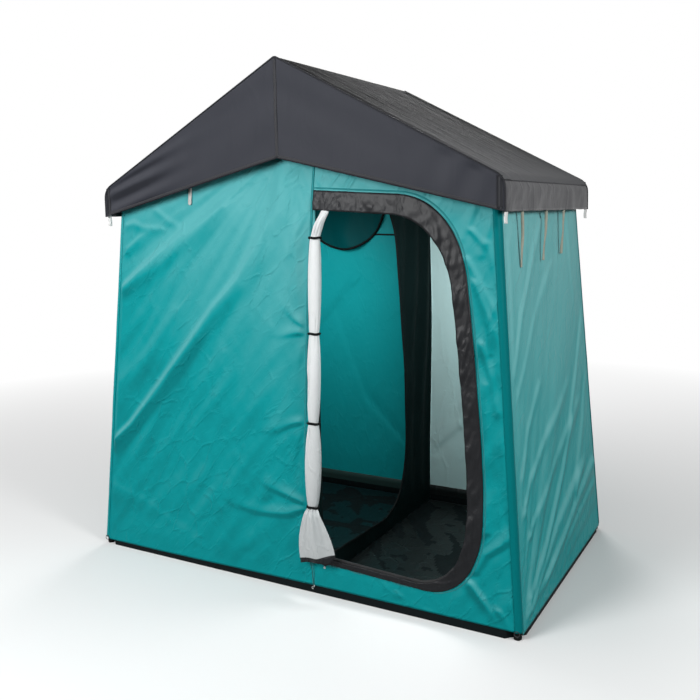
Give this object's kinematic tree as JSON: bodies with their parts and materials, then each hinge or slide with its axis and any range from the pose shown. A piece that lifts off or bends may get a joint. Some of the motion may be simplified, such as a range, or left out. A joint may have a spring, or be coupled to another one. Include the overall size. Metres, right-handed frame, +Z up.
{
  "type": "sauna tent",
  "caption": "Free-standing two-room cabin tent with leaning teal walls on a tube frame, a gabled charcoal fly, a D-shaped doorway with its door rolled up, and an inner partition.",
  "frame": {"origin": "on the floor, at the middle of the base, on the groundsheet's underside", "axes": "+Z up to the ridge; -Y out of the front, which has the doorway; +X to the right, as seen from the front"},
  "size_m": [2.1248, 1.3553, 2.217],
  "materials": {
    "teal_cloth": "coated polyester, satin",
    "charcoal_cloth": "coated polyester, satin",
    "white_cloth": "white-coated lining, satin",
    "black_cloth": "matt",
    "groundsheet": "laminated, semi-matt",
    "net": "fine net",
    "tube_steel": "powder coated",
    "connector_plastic": "moulded",
    "boot_rubber": "matt",
    "webbing": "woven",
    "white_webbing": "woven",
    "zip_coil": "moulded coil",
    "zinc": "die-cast, plated"
  },
  "bodies": {
    "tent": {"back_wall_left": "teal_cloth", "back_wall_right": "white_cloth", "boot_back_left": "boot_rubber", "boot_back_right": "boot_rubber", "boot_front_left": "boot_rubber", "boot_front_right": "boot_rubber", "door_storm_flap": "charcoal_cloth", "door_tie_1": "black_cloth", "door_tie_2": "black_cloth", "door_tie_3": "black_cloth", "door_tie_4": "black_cloth", "door_zip_track": "zip_coil", "eave_elbow_back_left": "connector_plastic", "eave_elbow_back_right": "connector_plastic", "eave_elbow_front_left": "connector_plastic", "eave_elbow_front_right": "connector_plastic", "eave_tube_left": "tube_steel", "eave_tube_right": "tube_steel", "fly_tab_back_left": "white_webbing", "fly_tab_back_right": "white_webbing", "fly_tab_front_left": "white_webbing", "fly_tab_front_right": "white_webbing", "front_wall_left": "teal_cloth", "front_wall_right": "teal_cloth", "groundsheet": "groundsheet", "hem_hook": "zinc", "hook_cord": "black_cloth", "left_wall": "teal_cloth", "lower_leg_back_left": "tube_steel", "lower_leg_back_right": "tube_steel", "lower_leg_front_left": "tube_steel", "lower_leg_front_right": "tube_steel", "net_roof": "net", "partition": "black_cloth", "peak_connector_back": "connector_plastic", "peak_connector_front": "connector_plastic", "rafter_back_left": "tube_steel", "rafter_back_right": "tube_steel", "rafter_front_left": "tube_steel", "rafter_front_right": "tube_steel", "ridge_tube": "tube_steel", "right_wall": "teal_cloth", "rolled_door": "white_cloth", "roof_fly": "charcoal_cloth", "side_tie_back": "webbing", "side_tie_front": "webbing", "side_tie_middle": "webbing", "upper_leg_back_left": "tube_steel", "upper_leg_back_right": "tube_steel", "upper_leg_front_left": "tube_steel", "upper_leg_front_right": "tube_steel", "window_mesh": "net"},
    "window_cover_body": {"window_cover": "teal_cloth"},
    "door_zip_slider_body": {"door_zip_slider": "zip_coil"},
    "door_zip_pull_body": {"door_zip_pull": "zinc"},
    "front_webbing_loop_body": {"front_webbing_loop": "webbing"},
    "peg_ring_front_left_body": {"peg_ring_front_left": "zinc"},
    "peg_ring_front_right_body": {"peg_ring_front_right": "zinc"},
    "peg_ring_back_left_body": {"peg_ring_back_left": "zinc"},
    "peg_ring_back_right_body": {"peg_ring_back_right": "zinc"}
  },
  "joints": [
    {"name": "window_cover_lift", "type": "hinge", "parent": "tent", "child": "window_cover_body", "pos_m": [-0.35, 0.54598, 1.65981], "axis": [-1, 0, 0], "range_deg": [0, 80]},
    {"name": "zip_slide", "type": "slide", "parent": "tent", "child": "door_zip_slider_body", "axis": [0.999, -0.0027, -0.0455], "range_m": [-0.05, 0.37]},
    {"name": "zip_pull_swing", "type": "hinge", "parent": "door_zip_slider_body", "child": "door_zip_pull_body", "pos_m": [0.208, -0.63941, 0.17577], "axis": [-0.999, 0.0027, 0.0455], "range_deg": [0, 25]},
    {"name": "front_webbing_loop_lift", "type": "hinge", "parent": "tent", "child": "front_webbing_loop_body", "pos_m": [-0.5, -0.54775, 1.71711], "axis": [-1, 0, 0], "range_deg": [0, 60]},
    {"name": "peg_ring_front_left_swing", "type": "hinge", "parent": "tent", "child": "peg_ring_front_left_body", "pos_m": [-1.04544, -0.64547, 0.04011], "axis": [-1, 0, 0], "range_deg": [0, 85]},
    {"name": "peg_ring_front_right_swing", "type": "hinge", "parent": "tent", "child": "peg_ring_front_right_body", "pos_m": [1.04544, -0.64547, 0.04011], "axis": [-1, 0, 0], "range_deg": [0, 85]},
    {"name": "peg_ring_back_left_swing", "type": "hinge", "parent": "tent", "child": "peg_ring_back_left_body", "pos_m": [-1.04544, 0.64547, 0.04011], "axis": [1, 0, 0], "range_deg": [0, 85]},
    {"name": "peg_ring_back_right_swing", "type": "hinge", "parent": "tent", "child": "peg_ring_back_right_body", "pos_m": [1.04544, 0.64547, 0.04011], "axis": [1, 0, 0], "range_deg": [0, 85]}
  ]
}
